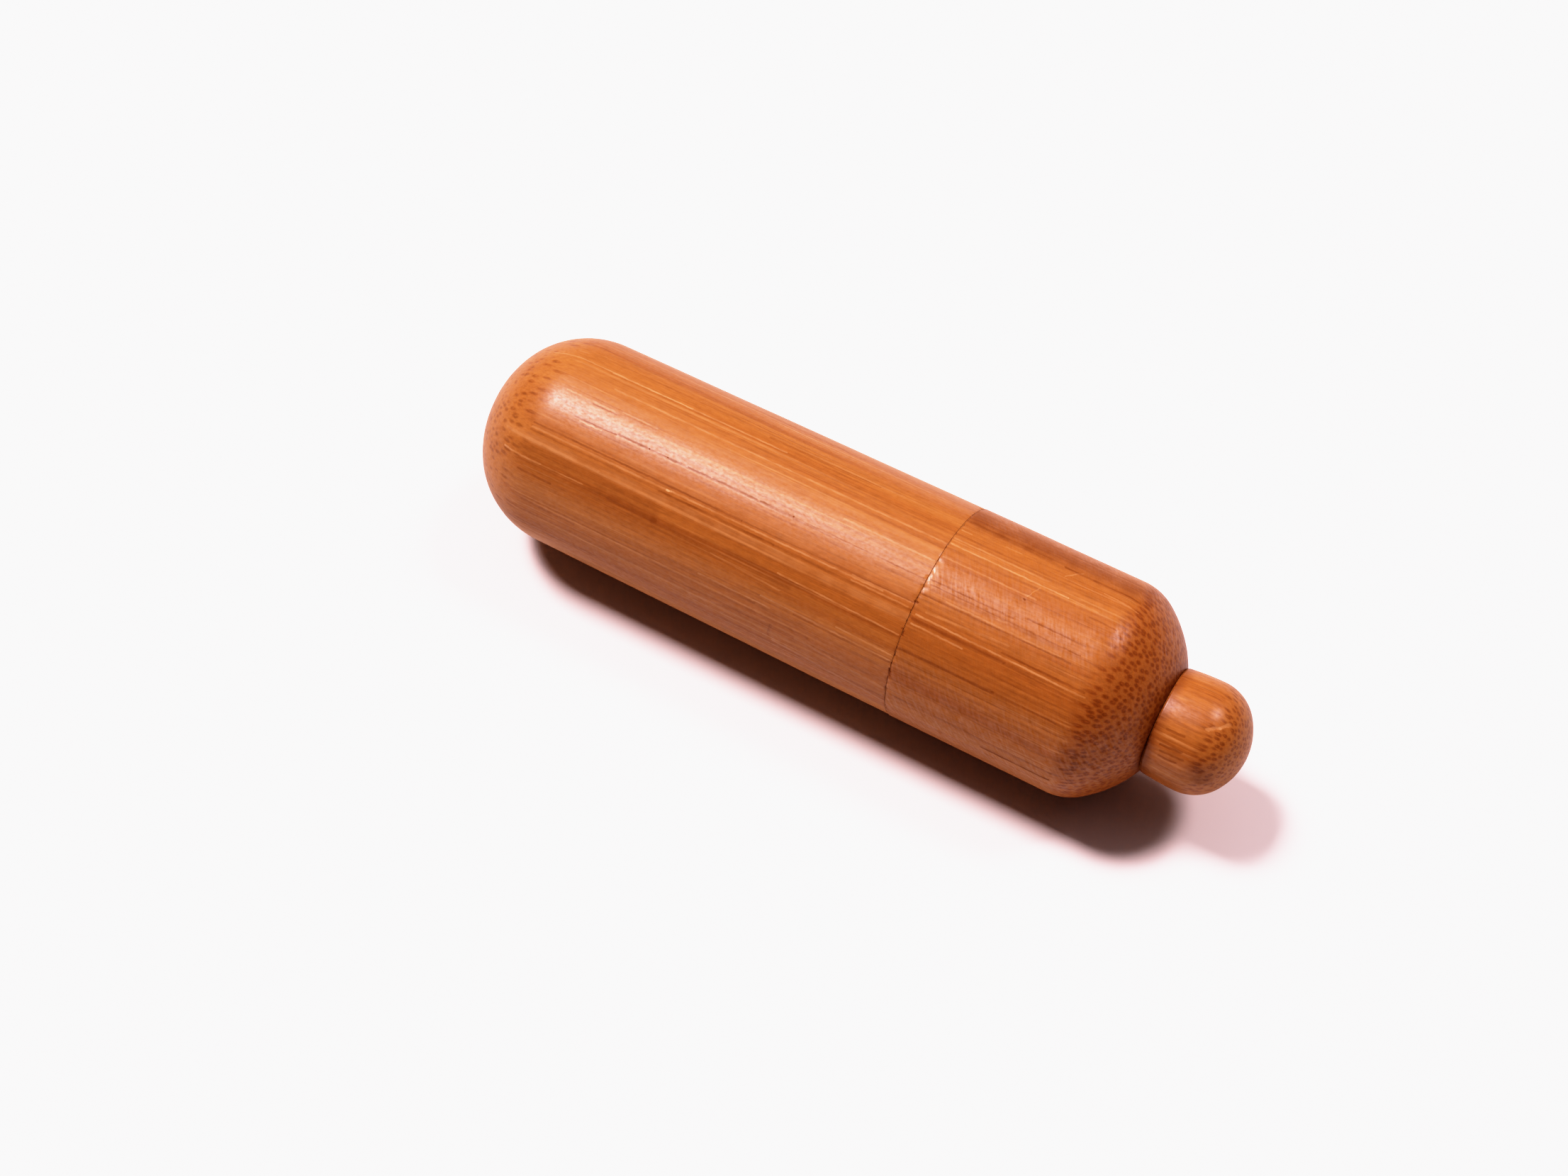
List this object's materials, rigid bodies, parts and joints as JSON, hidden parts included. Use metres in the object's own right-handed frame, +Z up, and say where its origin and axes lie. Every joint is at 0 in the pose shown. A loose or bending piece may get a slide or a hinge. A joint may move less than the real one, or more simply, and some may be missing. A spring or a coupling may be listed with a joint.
{
  "type": "needle case",
  "caption": "Turned bamboo needle case: domed cylindrical body, pull-off friction cap and small domed pull knob.",
  "frame": {"origin": "under the middle of the case's length, on the surface that it lies on", "axes": "+X along the case's axis towards the pull knob, +Z up as the case lies on its side"},
  "size_m": [0.0756, 0.0202, 0.0201],
  "materials": {
    "bamboo_body": "satin lacquer",
    "bamboo_cap": "satin lacquer",
    "bamboo_knob": "satin lacquer"
  },
  "bodies": {
    "case": {"case_body": "bamboo_body"},
    "cap": {"cap": "bamboo_cap", "pull_knob": "bamboo_knob"}
  },
  "joints": [
    {"name": "cap_pull_off", "type": "slide", "parent": "case", "child": "cap", "axis": [1, 0, 0], "range_m": [0, 0.06]}
  ]
}
